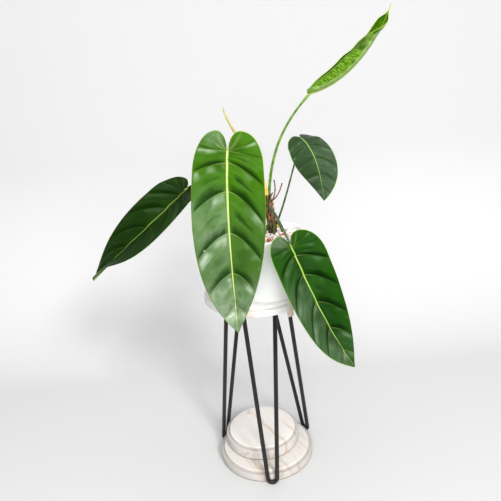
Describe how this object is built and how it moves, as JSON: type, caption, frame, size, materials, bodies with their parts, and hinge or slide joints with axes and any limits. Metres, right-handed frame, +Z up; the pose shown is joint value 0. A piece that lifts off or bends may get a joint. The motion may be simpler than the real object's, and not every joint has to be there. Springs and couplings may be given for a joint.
{
  "type": "potted philodendron on a plant stand",
  "caption": "Long-leaved philodendron in a plain white pot, on a round whitewashed board with black hairpin legs over a stepped wooden base.",
  "frame": {"origin": "on the floor under the lower base disc, on the axis of the three hairpin legs", "axes": "+Z up, -Y towards the front, where the long leaf hangs; +X to the right seen from the front"},
  "size_m": [0.6124, 0.342, 0.9893],
  "materials": {
    "whitewashed_wood": "whitewashed, matt",
    "black_steel": "black, satin",
    "white_glaze": "white, glossy",
    "pumice": "rough, dusty",
    "red_stone": "rough",
    "bark": "fibrous, matt",
    "leaf_green": "waxy, semi-gloss",
    "young_green": "waxy, semi-gloss",
    "spear_yellow": "papery, satin",
    "card": "bare, matt"
  },
  "bodies": {
    "root": {"stand_top": "whitewashed_wood", "base_lower": "whitewashed_wood", "base_upper": "whitewashed_wood", "leg_front": "black_steel", "leg_right": "black_steel", "leg_left": "black_steel", "pot": "white_glaze", "substrate": "pumice", "red_chip_1": "red_stone", "red_chip_2": "red_stone", "red_chip_3": "red_stone", "red_chip_4": "red_stone", "stem": "bark", "leaf_front": "leaf_green", "leaf_left": "leaf_green", "leaf_right": "leaf_green", "leaf_small": "leaf_green", "leaf_rolled": "young_green", "spear": "spear_yellow", "side_bud": "young_green", "edge_tag": "card"}
  },
  "joints": []
}
